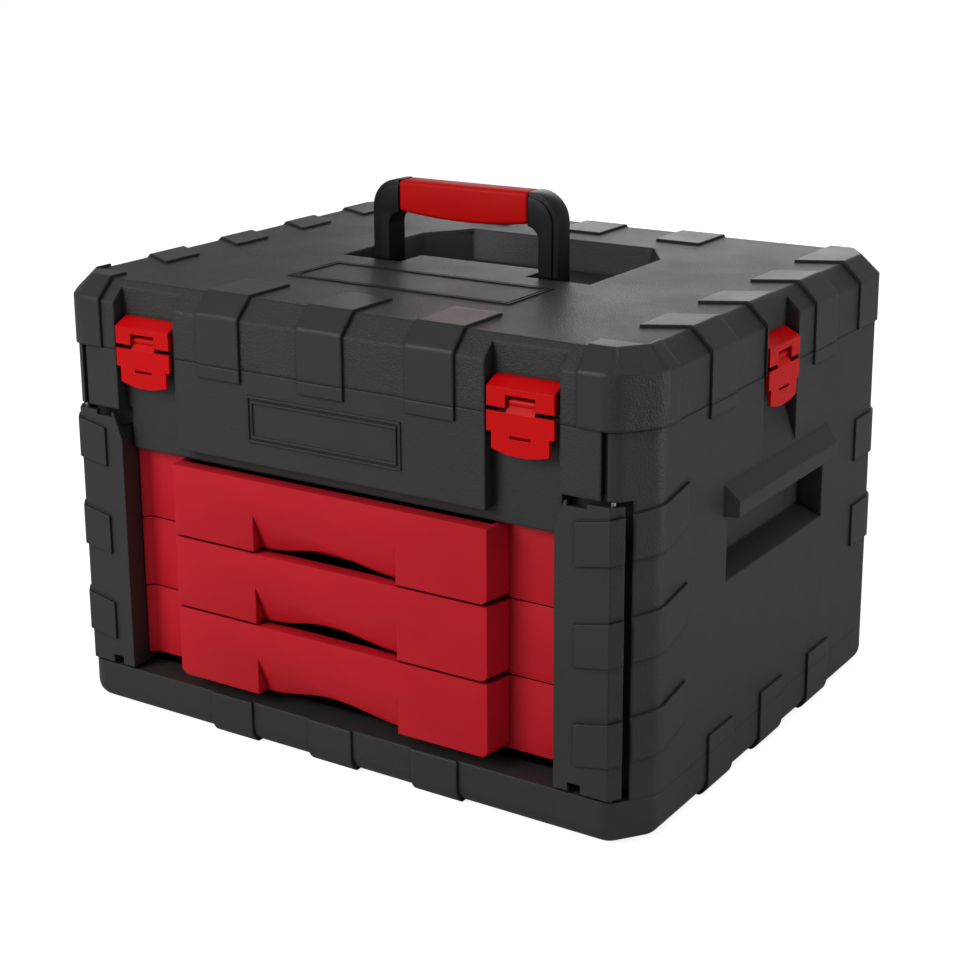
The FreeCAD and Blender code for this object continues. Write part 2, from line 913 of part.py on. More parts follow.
def make_base():
    top = size.base_height

    def pan_form(name, grow, low):
        """The pan's outside, with its lower edge rounded."""
        body = new_body(name)
        pad(body, "top", [plan(grow)], low, top)
        fillet(body, size.base_round, lambda edge: level_at(edge, low))
        return body

    raised = pan_form("base_raised", size.pad_rise, -1 * size.pad_rise)
    columns = new_body("base_columns")
    pad(columns, "top", pad_columns(), as_size(-0.0), top + OVER)
    pad(columns, "top", side_columns((-1, 0, 1), as_size(0)), as_size(-0.0), top + OVER)
    combine(raised, "Common", columns)

    pan = pan_form("base", 0, as_size(0))
    combine(pan, "Fuse", raised)
    cut(pan, "top", [inner_box(size.jamb_depth + size.wall)], size.wall, top + OVER)
    cut(pan, "top", [box(-half_width + 20, half_width - 20, size.wall + 12, size.jamb_depth + size.wall + OVER)],
        size.wall, top - size.wall)
    towers = []
    bores = []
    heads = []
    pins = []
    for place in screw_places():
        towers.append(Ring(place[0], place[1], size.boss_radius + 1))
        bores.append(Ring(place[0], place[1], size.screw_radius + size.press_gap))
        heads.append(Ring(place[0], place[1], size.screw_head_radius + 0.5))
    pad(pan, "top", towers, as_size(size.wall), top)
    cut(pan, "top", bores, as_size(-1), top + OVER)
    cut(pan, "top", heads, as_size(-1), size.screw_sink)
    for side in (-1, 1):
        pins.append(Ring(size.flap_pivot_x * side, size.flap_pivot_y, size.flap_pin_radius + size.press_gap))
    cut(pan, "top", pins, top - 12, top + OVER)
    finish(pan, "base_pan")

    screws = new_body("screws")
    heads = []
    shanks = []
    for place in screw_places():
        heads.append(Ring(place[0], place[1], size.screw_head_radius))
        shanks.append(Ring(place[0], place[1], size.screw_radius))
    pad(screws, "top", heads, size.screw_sink - 3, size.screw_sink)
    pad(screws, "top", shanks, size.screw_sink, size.screw_sink + size.screw_length)
    finish(screws, "base_screws")


def inner_box(front):
    side = half_width - size.wall * 2.6
    return [
        (-side, front),
        (side, front),
        (side, depth - size.corner_cut_y - 4),
        (side - size.corner_cut_x, depth - size.wall * 2.6),
        (-side + size.corner_cut_x, depth - size.wall * 2.6),
        (-side, depth - size.corner_cut_y - 4),
    ]


def make_pins():
    hinge = new_body("hinge_pins")
    reach = size.knuckle_middle / 2 + size.knuckle_side
    for side in (-1, 1):
        middle = size.knuckle_place * side
        ring = Ring(depth + size.hinge_axis_out, size.parting_height, size.hinge_pin_radius)
        pad(hinge, "side", [ring], middle - reach, middle + reach)
    finish(hinge, "lid_hinge_pins")

    handle = new_body("handle_pins_form")
    low, high = strip_half - size.wall, leg_outer + size.moving_gap + 4
    ring = Ring(pivot_y, pivot_z, size.handle_pin_radius)
    pad(handle, "side", [ring], low, high)
    pad(handle, "side", [ring], -high, -low)
    finish(handle, "handle_pins")

    flap = new_body("flap_pins_form")
    rings = [Ring(size.flap_pivot_x * side, size.flap_pivot_y, size.flap_pin_radius) for side in (-1, 1)]
    low = size.base_height - size.wall
    pad(flap, "top", rings, low, size.flap_low + size.flap_knuckle_length - 2)
    top = size.pillar_low + size.wall
    pad(flap, "top", rings, size.flap_top - size.flap_knuckle_length + 2, top)
    finish(flap, "flap_pins")


# Handle

def make_handle():
    low, high = size.basin_front + 2, size.basin_front + 2 + size.handle_leg_depth
    frame = new_body("frame")
    top = size.handle_top
    outer = leg_outer
    pad(frame, "front", [box(-outer, outer, pivot_z, top)], low, high)

    def outer_corner(edge):
        return level_at(edge, top) and all(abs(abs(p.x) - outer.value) < 0.1 for p in ends_of(edge)) \
            and abs(ends_of(edge)[0].y - ends_of(edge)[1].y) > 1

    fillet(frame, size.handle_corner, outer_corner)
    inside_top = size.grip_low - 1
    cut(frame, "front", [box(-leg_inner, leg_inner, pivot_z - OVER, inside_top)], low - OVER, high + OVER)

    def inner_corner(edge):
        points = ends_of(edge)
        return level_at(edge, inside_top) and all(near(abs(p.x), leg_inner) for p in points) \
            and abs(points[0].y - points[1].y) > 1

    fillet(frame, size.handle_inner_corner, inner_corner)
    half = size.grip_width / 2
    mid = pivot_y
    core = size.core_depth / 2
    cut(frame, "front", [box(-half, half, size.core_high, top + OVER)], low - OVER, high + OVER)
    cut(frame, "front", [box(-half, half, inside_top - OVER, size.core_low)], low - OVER, high + OVER)
    cut(frame, "top", [box(-half, half, low - OVER, mid - core), box(-half, half, mid + core, high + OVER)],
        inside_top - OVER, top + OVER)
    for side in (-1, 1):
        first, last = leg_inner, leg_outer
        if side < 0:
            first, last = -last, -first
        pad(frame, "side", [Ring(mid, pivot_z, size.handle_leg_depth / 2)], first, last)
        bore = Ring(mid, pivot_z, size.handle_pin_radius + size.pin_gap)
        cut(frame, "side", [bore], first - OVER, last + OVER)
    finish(frame, "handle_frame")

    grip = new_body("grip")
    reach = half * half
    bow = size.grip_belly
    radius = (reach + bow * bow) / (bow * 2)
    outline = [
        (-half, size.grip_low, radius),
        (half, size.grip_low),
        (half, size.grip_high),
        (-half, size.grip_high),
    ]
    pad(grip, "front", [outline], mid - size.grip_depth / 2, mid + size.grip_depth / 2)

    def lengthwise(edge):
        points = ends_of(edge)
        return abs(points[0].x - points[-1].x) > 50

    fillet(grip, as_size(3), lengthwise)
    cut(grip, "side", [box(mid - core, mid + core, size.core_low, size.core_high)], -half - OVER, half + OVER)
    finish(grip, "handle_grip")


# Latches

def make_latches():
    half = size.latch_width / 2
    proud = -1 * size.latch_proud
    back = size.header_depth
    notch = size.latch_notch / 2
    py, pz = size.latch_pivot_depth, size.latch_pivot_height
    for name, place, turn in latch_places():
        bracket = new_body(f"bracket_{name}")
        low = size.latch_bracket_low
        face = low + size.latch_bracket_face
        profile = [(proud, low), (back, low), (back, face + 5.4), (back - 3.8, face + 3.7), (proud, face)]
        pad(bracket, "side", [profile], -half, half)
        cut(bracket, "front", [box(-notch, notch, low - OVER, size.latch_notch_top)], proud - OVER, back + OVER)
        bore = Ring(py, pz, size.latch_pin_radius + size.press_gap)
        cut(bracket, "side", [bore], -half + 2, half - 2)
        finish(bracket, f"latch_bracket_{name}", place, turn)

        pin = new_body(f"pin_{name}")
        pad(pin, "side", [Ring(py, pz, size.latch_pin_radius)], -half + 2, half - 2)
        finish(pin, f"latch_pin_{name}", place, turn)

        lever = new_body(f"lever_{name}")
        thick = size.latch_plate_thick
        top = size.latch_lever_top
        ear = size.latch_ear_low
        bottom = size.latch_lever_low
        inner = half - size.latch_plate_inset
        bow = size.latch_lever_bow
        radius = (inner * inner + bow * bow) / (bow * 2)
        outline = [
            (-half, ear),
            (-inner, ear),
            (-inner, bottom, radius),
            (inner, bottom),
            (inner, ear),
            (half, ear),
            (half, top),
            (-half, top),
        ]
        pad(lever, "front", [outline], proud, proud + thick)
        slit = ear - 3
        cut(lever, "front", [box(-7, 7, slit, slit + 1.6)], proud - OVER, proud + thick + OVER)
        link = [
            (proud, top - 3),
            (proud + thick, top - 3),
            (py + 2, pz - 2),
            (py - 2.4, pz - 1.6),
            (proud, top),
        ]
        width = notch - 0.4
        pad(lever, "side", [link], -width, width)
        pad(lever, "side", [Ring(py, pz, size.latch_knuckle_radius)], -width, width)
        crest = size.header_depth - size.latch_catch_out
        lug = [
            (proud + thick - 0.5, ear - 4.5),
            (crest - 1.4, ear - 1.6),
            (crest - size.moving_gap, ear),
            (proud + thick - 0.5, ear),
        ]
        pad(lever, "side", [lug], -11, 11)
        cut(lever, "side", [Ring(py, pz, size.latch_pin_radius + size.pin_gap)], -width - OVER, width + OVER)
        finish(lever, f"latch_lever_{name}", place, turn)


# Locking flaps

def flap_profile(grow=0):
    """A flap seen from above: its front, the part on the cut corner and its end."""
    grow = as_size(grow)
    front = -1 * (size.flap_out + grow)
    turn_x = half_width - size.corner_cut_x - 0.4 + grow * 0.5
    end_x = turn_x + 5.4 + grow * 0.3
    end_y = front + 7.6 - grow * 0.3
    thick = size.flap_thick + grow
    return front, turn_x, end_x, end_y, thick


def make_flap(side):
    label = "left" if side < 0 else "right"

    def own(outline):
        return outline if side > 0 else mirrored(outline)

    flap = new_body(f"flap_{label}")
    inner = size.flap_inner
    low = size.flap_low
    top = size.flap_top
    front, turn_x, end_x, end_y, thick = flap_profile()
    profile = [
        (inner, front),
        (turn_x, front),
        (end_x, end_y),
        (end_x - 2.6, end_y + 1.9),
        (turn_x - 1.2, front + thick),
        (inner + thick, front + thick),
        (inner + thick, size.flap_return),
        (inner, size.flap_return),
    ]
    pad(flap, "top", [own(profile)], low, top)
    raised = new_body(f"flap_raised_{label}")
    front_r, turn_r, end_r, end_yr, thick_r = flap_profile(size.pad_rise - 0.1)
    skin = [
        (inner, front_r),
        (turn_r, front_r),
        (end_r, end_yr),
        (end_x - 2, end_y + 0.6),
        (turn_x - 1, front + 1),
        (inner, front + 1),
    ]
    pad(raised, "top", [own(skin)], low, top)
    patches = new_body(f"flap_patches_{label}")
    pads = []
    start = inner + 14
    for step in (0, 1, 2):
        drop = size.post_pad_pitch * step
        pads.append(own([
            (start, 171.6 - drop),
            (end_r + 2, 176.8 - drop),
            (end_r + 2, 204 - drop),
            (start, 198 - drop),
        ]))
    pad(patches, "front", pads, as_size(-FAR), as_size(FAR))
    combine(raised, "Common", patches)
    combine(flap, "Fuse", raised)
    corner = own([
        (inner - OVER, top - 17.5),
        (inner, top - 17.5),
        (inner + 6.4, top),
        (inner + 6.4, top + OVER),
        (inner - OVER, top + OVER),
    ])
    cut(flap, "front", [corner], as_size(-FAR), as_size(FAR))
    notch = own(box(inner + 8, inner + 21, top - 3, top + OVER))
    arch = own(box(inner + 9.6, inner + 18.3, low - OVER, low + 5.5))
    cut(flap, "front", [notch, arch], as_size(-FAR), front + thick + 0.5)
    px, py = size.flap_pivot_x, size.flap_pivot_y
    for first in (low, top - size.flap_knuckle_length):
        last = first + size.flap_knuckle_length
        radius = size.flap_knuckle_radius
        web = own(box(px - radius, px + radius * 0.6, front + thick - 0.5, py))
        pad(flap, "top", [web], first, last)
        pad(flap, "top", [Ring(px * side, py, radius)], first, last)
        bore = Ring(px * side, py, size.flap_pin_radius + size.pin_gap)
        cut(flap, "top", [bore], first - OVER, last + OVER)
    finish(flap, f"flap_{label}")


# Drawers, their inserts and the panels they run in

drawer_height = size.drawer_pitch - size.drawer_gap
drawer_half = size.flap_inner - size.drawer_side_gap
bin_rear = depth - size.bin_rear_gap


def drawer_low(order):
    return size.drawers_top - drawer_height - size.drawer_pitch * order


def make_drawer(name, order):
    high = drawer_height
    body = new_body(f"drawer_{name}")
    wall = size.drawer_wall
    face = -1 * size.front_proud
    back = size.flange_setback
    fold = size.flange_fold
    rear = back + size.flange_thick
    half = drawer_half
    flange = [
        (-half, back - fold),
        (-half + fold, back),
        (half - fold, back),
        (half, back - fold),
        (half, rear - fold + 0.6),
        (half - fold + 1, rear),
        (-half + fold - 1, rear),
        (-half, rear - fold + 0.6),
    ]
    pad(body, "top", [flange], as_size(0), high)
    front = size.front_box_half
    wide = front + size.front_box_draft
    box_low = size.front_box_low
    nose = new_body(f"nose_{name}")
    pad(nose, "top", [[(-front, face), (front, face), (wide, back + 1), (-wide, back + 1)]], box_low, high)

    def nose_edge(edge):
        points = ends_of(edge)
        if all(near(point.y, back + 1) for point in points):
            return False
        return upright(edge) or level_at(edge, box_low)

    fillet(nose, as_size(3), nose_edge)
    combine(body, "Fuse", nose)
    bin_half = size.bin_half
    pad(body, "top", [box(-bin_half, bin_half, back + 0.5, bin_rear)], size.bin_low, high - 1)
    rib_top = high - size.rib_drop
    rib_low = rib_top - size.rib_height
    rib = both(box(bin_half - 1, size.bay_half - size.runner_thick - size.rib_gap, rear + 1.5, bin_rear))
    pad(body, "top", rib, rib_low, rib_top)

    hollow = new_body(f"hollow_{name}")
    floor = size.bin_low + wall
    pad(hollow, "top", [box(-bin_half + wall, bin_half - wall, rear, bin_rear - wall)], floor, high + OVER)
    mouth = [
        (-front + wall, face + wall),
        (front - wall, face + wall),
        (wide - wall, rear + 1),
        (-wide + wall, rear + 1),
    ]
    pad(hollow, "top", [mouth], box_low + wall, high + OVER)
    pull_top = high - size.pull_drop
    inner_pull = [
        (face - OVER, pull_top + wall * 1.5),
        (face + wall * 0.5, pull_top + wall * 1.5),
        (face + size.pull_depth + wall, size.pull_low + wall),
        (face + size.pull_depth + wall, -OVER),
        (face - OVER, -OVER),
    ]
    reach = size.pull_half + wall
    cut(hollow, "side", [inner_pull], -reach, reach)
    combine(body, "Cut", hollow)
    pull = [
        (face - OVER, pull_top),
        (face, pull_top),
        (face + size.pull_depth, size.pull_low),
        (face + size.pull_depth, -OVER),
        (face - OVER, -OVER),
    ]
    cut(body, "side", [pull], -size.pull_half, size.pull_half)
    finish(body, f"drawer_{name}", (0, 0, drawer_low(order)))

    insert = new_body(f"insert_{name}")
    gap = size.insert_gap
    pad(insert, "top", [box(-bin_half + wall + gap, bin_half - wall - gap, rear + gap, bin_rear - wall - gap)],
        floor, floor + size.insert_height)
    wells = []
    for column in range(8):
        radius = 8 + 1.1 * ((column + order) % 4)
        wells.append(Ring((column - 3.5) * 34, rear + 32, radius))
    cut(insert, "top", wells, floor + 2, floor + size.insert_height + OVER)
    troughs = []
    for row in range(4):
        low = rear + 70 + 60 * row
        troughs.append(box(-136, -10 + 12 * order, low, low + 30))
        troughs.append(box(10 + 12 * order, 136, low, low + 30))
    cut(insert, "top", troughs, floor + 2, floor + size.insert_height + OVER)
    finish(insert, f"insert_{name}", (0, 0, drawer_low(order)))


def make_runner(side):
    label = "left" if side < 0 else "right"

    def own(outline):
        return outline if side > 0 else mirrored(outline)

    body = new_body(f"runner_{label}")
    outer = size.bay_half
    inner = outer - size.runner_thick
    start = size.jamb_depth + size.wall
    stop = depth - size.wall
    first, last = (inner, outer) if side > 0 else (-outer, -inner)
    sheet = box(start, stop, size.base_height, size.floor_height - size.wall)
    pad(body, "side", [sheet], first, last)
    nib = inner - size.bin_half - size.rib_gap * 2
    rails = []
    for order in (0, 1, 2):
        rib_top = drawer_low(order) + drawer_height - size.rib_drop
        rib_low = rib_top - size.rib_height
        rails.append(box(start, stop, rib_low - size.runner_ledge - 0.2, rib_low - 0.2))
        rails.append(box(start, stop, rib_top + 0.2, rib_top + 0.2 + size.runner_ledge))
    first, last = (inner - nib, inner + 0.5) if side > 0 else (-inner - 0.5, -inner + nib)
    pad(body, "side", rails, first, last)
    finish(body, f"runner_{label}")


make_lid()
make_body()
make_base()
make_pins()
make_handle()
make_latches()
for side in (-1, 1):
    make_flap(side)
    make_runner(side)
for order, name in enumerate(("top", "middle", "bottom")):
    make_drawer(name, order)
doc.recompute()

faults = [item.Name for item in doc.Objects if "Invalid" in item.State or "Error" in item.State]
for item in doc.Objects:
    if item.TypeId in ("PartDesign::Pocket", "PartDesign::Pad") and item.BaseFeature is not None:
        change = item.Shape.Volume - item.BaseFeature.Shape.Volume
        if item.TypeId.endswith("Pocket") == (change >= 0):
            faults.append(f"{item.Name} changes nothing")
for name, node in nodes.items():
    if node.Shape.isNull() or not node.Shape.isValid():
        faults.append(f"{name} is not a sound solid")
if faults:
    raise RuntimeError(", ".join(faults))

os.makedirs("parts", exist_ok=True)
for name, node in nodes.items():
    node.Shape.exportStep(f"parts/{name}.step")
    print(name, len(node.Shape.Solids), round(node.Shape.Volume))
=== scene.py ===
# %% [markdown]
# # A moulded tool chest
# The chest is a box of black polypropylene with a hinged lid, three red drawers, four red
# latches and a folding handle. The pieces and their sizes come from a finished model, so this
# lesson is about the finish: how each surface was moulded, how light shows it, and how a few
# pieces get the rounder forms that their moulds have.

# %% Load the pieces
import json
import math

import bmesh
import bpy
from mathutils import Matrix, Quaternion, Vector


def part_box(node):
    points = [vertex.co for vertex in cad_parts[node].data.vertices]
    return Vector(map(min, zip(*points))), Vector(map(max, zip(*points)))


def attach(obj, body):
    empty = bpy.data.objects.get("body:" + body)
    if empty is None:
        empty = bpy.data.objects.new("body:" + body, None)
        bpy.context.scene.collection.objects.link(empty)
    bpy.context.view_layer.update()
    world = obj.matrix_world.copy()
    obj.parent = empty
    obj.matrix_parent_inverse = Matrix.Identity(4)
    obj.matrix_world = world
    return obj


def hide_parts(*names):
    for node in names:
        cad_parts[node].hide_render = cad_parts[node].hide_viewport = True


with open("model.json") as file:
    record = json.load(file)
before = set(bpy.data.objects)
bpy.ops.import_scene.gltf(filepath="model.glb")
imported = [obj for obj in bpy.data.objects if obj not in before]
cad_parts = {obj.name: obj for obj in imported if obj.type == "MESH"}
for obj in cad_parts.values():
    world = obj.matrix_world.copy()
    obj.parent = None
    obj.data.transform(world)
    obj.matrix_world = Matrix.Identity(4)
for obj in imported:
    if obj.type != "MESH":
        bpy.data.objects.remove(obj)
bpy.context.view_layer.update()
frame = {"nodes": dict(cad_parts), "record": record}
NODES = frame["nodes"]
MM = 0.001

# %% [markdown]
# ## Colours and node trees
# A colour picked from a screen is an sRGB value, but shaders add light in linear numbers. One
# function turns the hex code that a maker would write into the linear colour. A second small
# function adds a node with its settings and links, so that each finish reads as a list.


# %% Helpers for colours and nodes
def linear(code):
    """The linear colour of an sRGB hex code such as "c01818"."""
    parts = [int(code[i:i + 2], 16) / 255 for i in (0, 2, 4)]
    return [p / 12.92 if p <= 0.04045 else ((p + 0.055) / 1.055) ** 2.4 for p in parts] + [1]


def add(tree, kind, links=None, **settings):
    """Adds a node. Links gives inputs their values or sockets, and settings are properties."""
    made = tree.nodes.new(kind)
    for name, value in settings.items():
        setattr(made, name, value)
    for name, value in (links or {}).items():
        socket = made.inputs[name]
        if isinstance(value, bpy.types.NodeSocket):
            tree.links.new(value, socket)
        else:
            socket.default_value = value
    return made


# %% [markdown]
# ## Camera
# The photograph was taken from the front right corner, a little above the lid, with a lens
# long enough to keep the verticals nearly straight. The place and the lens were solved from
# the straight edges of the chest. The picture is 960 points wide, and the point that the lens
# looks straight at lies a tenth of the picture above its middle, which is the shift.

# %% Camera
FOCAL_POINTS = 1898.1
PICTURE_POINTS = 960
SENSOR_MM = 36
SHIFT_DOWN = -0.1
EYE = Vector((682.9, -1064.1, 546.4)) * MM
TURN_LEFT = math.radians(32.92)
LOOK_DOWN = math.radians(14.88)
ROLL = math.radians(-0.32)


def make_camera():
    data = bpy.data.cameras.new("camera")
    data.sensor_width = SENSOR_MM
    data.lens = FOCAL_POINTS / PICTURE_POINTS * SENSOR_MM
    data.shift_y = SHIFT_DOWN
    data.clip_end = 50
    camera = bpy.data.objects.new("camera", data)
    bpy.context.scene.collection.objects.link(camera)
    flat = math.cos(LOOK_DOWN)
    ahead = Vector((-math.sin(TURN_LEFT) * flat, math.cos(TURN_LEFT) * flat, -math.sin(LOOK_DOWN)))
    camera.rotation_mode = "QUATERNION"
    camera.rotation_quaternion = ahead.to_track_quat("-Z", "Y") @ Quaternion((0, 0, 1), ROLL)
    camera.location = EYE
    bpy.context.scene.camera = camera


make_camera()
print("lens", round(bpy.context.scene.camera.data.lens, 1), "mm")

# %% [markdown]
# ## Floor and backdrop
# The floor and the backdrop are plain and pale. Only what looks straight at them finds them
# white, so that they throw no more light on the chest than a sheet of grey paper does. The
# floor's glow is a little under white and its own grey fills the rest, so that it keeps a
# faint shadow of the chest. It lies half a millimetre low, because two faces in one plane
# flicker.

# %% Floor and backdrop
FLOOR_HALF = 12
FLOOR_UP = -0.0005
FLOOR_GLOW = 0.86
SOFT_LIGHT = 0.27
WHITE = linear("ffffff")


def make_floor():
    mesh = bpy.data.meshes.new("floor")
    corners = [(-1, -1), (1, -1), (1, 1), (-1, 1)]
    spots = [(x * FLOOR_HALF, y * FLOOR_HALF, FLOOR_UP) for x, y in corners]
    mesh.from_pydata(spots, [], [(0, 1, 2, 3)])
    floor = bpy.data.objects.new("floor", mesh)
    bpy.context.scene.collection.objects.link(floor)
    paper = bpy.data.materials.new("matt_paper_floor")
    paper.use_nodes = True
    tree = paper.node_tree
    shader = tree.nodes["Principled BSDF"]
    shader.inputs["Base Color"].default_value = linear("c8c8c8")
    shader.inputs["Roughness"].default_value = 0.9
    seen = add(tree, "ShaderNodeLightPath").outputs["Is Camera Ray"]
    glow = add(tree, "ShaderNodeMath", {0: seen, 1: FLOOR_GLOW}, operation="MULTIPLY")
    shader.inputs["Emission Color"].default_value = WHITE
    tree.links.new(glow.outputs[0], shader.inputs["Emission Strength"])
    mesh.materials.append(paper)


def make_world():
    world = bpy.data.worlds.new("studio")
    bpy.context.scene.world = world
    world.use_nodes = True
    tree = world.node_tree
    tree.nodes.clear()
    seen = add(tree, "ShaderNodeLightPath").outputs
    either = add(tree, "ShaderNodeMath",
                 {0: seen["Is Camera Ray"], 1: seen["Is Transmission Ray"]}, operation="MAXIMUM")
    soft = add(tree, "ShaderNodeBackground", {"Color": WHITE, "Strength": SOFT_LIGHT})
    white = add(tree, "ShaderNodeBackground", {"Color": WHITE, "Strength": 1.0})
    mix = add(tree, "ShaderNodeMixShader",
              {0: either.outputs[0], 1: soft.outputs[0], 2: white.outputs[0]})
    add(tree, "ShaderNodeOutputWorld", {"Surface": mix.outputs[0]})


make_floor()
make_world()
print("floor", 2 * FLOOR_HALF, "m wide")

# %% [markdown]
# ## Lamps
# Black plastic is mostly seen by what it reflects, so a chest like this is lit with large soft
# lamps: one over the front left, a weaker low one beside the right side, which leaves the ends
# of the drawers in shade, one far behind the chest, which lays the pale sheen on the lid, and
# a small one above the front corner.

# %% Lamps
CHEST_MIDDLE = (0, 0, 0.17)
# Each lamp's place, what it faces, its width in metres and its power in watts.
LAMPS = {
    "key_front_left": ((-0.9, -1.9, 1.2), CHEST_MIDDLE, 1.3, 30),
    "sheen_rear": ((-0.55, 1.7, 0.66), (0.1, 0, 0.28), 1.3, 5),
    "side_right": ((1.6, 0.35, 0.05), (0.2, 0, 0.05), 0.7, 11),
    "corner_above": ((0.75, -0.1, 1.7), (0.2, -0.1, 0.28), 0.5, 2.5),
}


def make_lamp(name, place, target, size, watts):
    data = bpy.data.lights.new(name, "AREA")
    data.shape = "DISK"
    data.size = size
    data.energy = watts
    lamp = bpy.data.objects.new(name, data)
    lamp.location = place
    lamp.rotation_mode = "QUATERNION"
    lamp.rotation_quaternion = (Vector(target) - Vector(place)).to_track_quat("-Z", "Y")
    bpy.context.scene.collection.objects.link(lamp)


for name, (place, target, size, watts) in LAMPS.items():
    make_lamp(name, place, target, size, watts)
print(len(LAMPS), "lamps")

# %% [markdown]
# ## Raised pads
# Polypropylene is injection moulded against a steel tool whose face was etched, which leaves a
# fine leathery grain. The grain is what breaks up the shine, and the etched ground has more of
# it than the raised pads, which the polisher went over. A pad is told from the ground by how
# far it stands out: each plane below is a direction and a distance in metres, and what lies
# beyond it is a pad.

# %% Raised pads
SLANT = math.sqrt(0.5)
# The walls' planes lie 1.2 mm out from the walls, between the ground and the pads.
WALL_PADS = [((1, 0, 0), 0.2212), ((-1, 0, 0), 0.2212),
             ((0, -1, 0), 0.18745), ((0, 1, 0), 0.17895)]
# The lid adds its flat top and the four slopes round it.
LID_PADS = WALL_PADS + [((0, 0, 1), 0.2973),
                        ((0, -SLANT, SLANT), 0.3332), ((0, SLANT, SLANT), 0.3272),
                        ((SLANT, 0, SLANT), 0.3571), ((-SLANT, 0, SLANT), 0.3571)]
# The flaps stand 1.5 mm out, so their pads begin further out.
FLAP_PADS = [((0, -1, 0), 0.1885)]


def raised_part(tree, place, planes):
    """1 on the surfaces that lie beyond any of the planes and 0 elsewhere."""
    total = None
    for direction, distance in planes:
        along = add(tree, "ShaderNodeVectorMath", {0: place, 1: direction},
                    operation="DOT_PRODUCT").outputs["Value"]
        beyond = add(tree, "ShaderNodeMath", {0: along, 1: distance},
                     operation="GREATER_THAN").outputs[0]
        if total is None:
            total = beyond
        else:
            total = add(tree, "ShaderNodeMath", {0: total, 1: beyond},
                        operation="MAXIMUM").outputs[0]
    return total


print(len(LID_PADS), "planes find the pads of the lid")

# %% [markdown]
# ## Moulded plastic
# One function makes every plastic of the chest. The real grain is about half a millimetre and
# would vanish here, so it is drawn as coarse as it needs to show. Wide soft clouds make some
# places a little more rubbed than others. No moulded edge is sharp, so the normals are rounded
# at the edges. Along seams and under edges the colour and the shine are darkened by a painted
# shade, which ambient occlusion finds.

# %% Moulded plastic
PAINTED_SHADE_MM = 4.0
CLOUDS_PER_METRE = 18.0
ROUGHNESS_SWING = 0.05
TONE_SWING = 0.1
PAD_SMOOTHER = -0.07
PAD_GRAIN_LOSS = -0.65
PLASTIC_IOR = 1.49


def moulded(name, colour, roughness, grain_mm, depth_mm, edge_mm, shine, planes=()):
    """A plastic with an etched grain, rubbed and cloudy places, rounded edges and painted shade in
    its crevices.
    """
    material = bpy.data.materials.new(name)
    material.use_nodes = True
    tree = material.node_tree
    shader = tree.nodes["Principled BSDF"]
    place = add(tree, "ShaderNodeTexCoord").outputs["Object"]
    grain = add(tree, "ShaderNodeTexNoise", {"Vector": place, "Scale": 1 / (grain_mm * MM),
                                              "Detail": 3.0, "Roughness": 0.6})
    cloud = add(tree, "ShaderNodeTexNoise", {"Vector": place, "Scale": CLOUDS_PER_METRE,
                                              "Detail": 4.0, "Roughness": 0.6}).outputs["Fac"]
    rough = add(tree, "ShaderNodeMapRange", {"Value": cloud, "From Min": 0.35, "From Max": 0.7,
                                              "To Min": roughness - ROUGHNESS_SWING,
                                              "To Max": roughness + ROUGHNESS_SWING})
    rough = rough.outputs["Result"]
    strength = 1.0
    if planes:
        pad = raised_part(tree, place, planes)
        rough = add(tree, "ShaderNodeMath", {0: pad, 1: PAD_SMOOTHER, 2: rough},
                    operation="MULTIPLY_ADD").outputs[0]
        strength = add(tree, "ShaderNodeMath", {0: pad, 1: PAD_GRAIN_LOSS, 2: 1.0},
                       operation="MULTIPLY_ADD").outputs[0]
    # Painted shade: ambient occlusion darkens the colour and the shine in seams and under edges.
    open_air = add(tree, "ShaderNodeAmbientOcclusion", {"Distance": PAINTED_SHADE_MM * MM}, samples=5)
    painted_shade = add(tree, "ShaderNodeMapRange", {"Value": open_air.outputs["AO"],
                                              "From Min": 0.35, "From Max": 0.95,
                                              "To Min": 0.25, "To Max": 1.0}).outputs["Result"]
    painted_shade_gloss = add(tree, "ShaderNodeMath", {0: painted_shade, 1: shine}, operation="MULTIPLY")
    tone = add(tree, "ShaderNodeMix", {"Factor": cloud}, data_type="RGBA")
    base = linear(colour)[:3]
    tone.inputs["A"].default_value = [part * (1 - TONE_SWING) for part in base] + [1]
    tone.inputs["B"].default_value = [min(1, part * (1 + TONE_SWING)) for part in base] + [1]
    edge = add(tree, "ShaderNodeBevel", {"Radius": edge_mm * MM}, samples=4)
    bump = add(tree, "ShaderNodeBump", {"Height": grain.outputs["Fac"], "Strength": strength,
                                         "Distance": depth_mm * MM,
                                         "Normal": edge.outputs["Normal"]})
    shaded = add(tree, "ShaderNodeVectorMath", {0: tone.outputs["Result"]}, operation="SCALE")
    tree.links.new(painted_shade, shaded.inputs["Scale"])
    tree.links.new(shaded.outputs[0], shader.inputs["Base Color"])
    tree.links.new(rough, shader.inputs["Roughness"])
    tree.links.new(bump.outputs["Normal"], shader.inputs["Normal"])
    shader.inputs["IOR"].default_value = PLASTIC_IOR
    shader.inputs["Specular IOR Level"].default_value = shine
    tree.links.new(painted_shade_gloss.outputs[0], shader.inputs["Specular IOR Level"])
    return material


# Black polypropylene: dark, but never quite black, because the grain scatters light. The lid
# has the coarsest grain and the softest edges.
SHELL = moulded("polypropylene_black_grained", "343434", 0.44, 1.3, 0.3, 2.0, 0.3, WALL_PADS)
LID = moulded("polypropylene_black_grained_lid", "343434", 0.4, 1.3, 0.55, 3.0, 0.3, LID_PADS)
FLAP = moulded("polypropylene_black_grained_flap", "343434", 0.44, 1.1, 0.24, 1.2, 0.3, FLAP_PADS)
# The liners and runners are the same plastic from a plain polished tool.
LINER = moulded("polypropylene_black_plain", "161616", 0.42, 0.9, 0.04, 0.5, 0.3)
# Red polypropylene: strong colour with a fine, nearly flat grain.
DRAWER = moulded("polypropylene_red_fine", "c41e2a", 0.42, 1.2, 0.07, 0.6, 0.12)
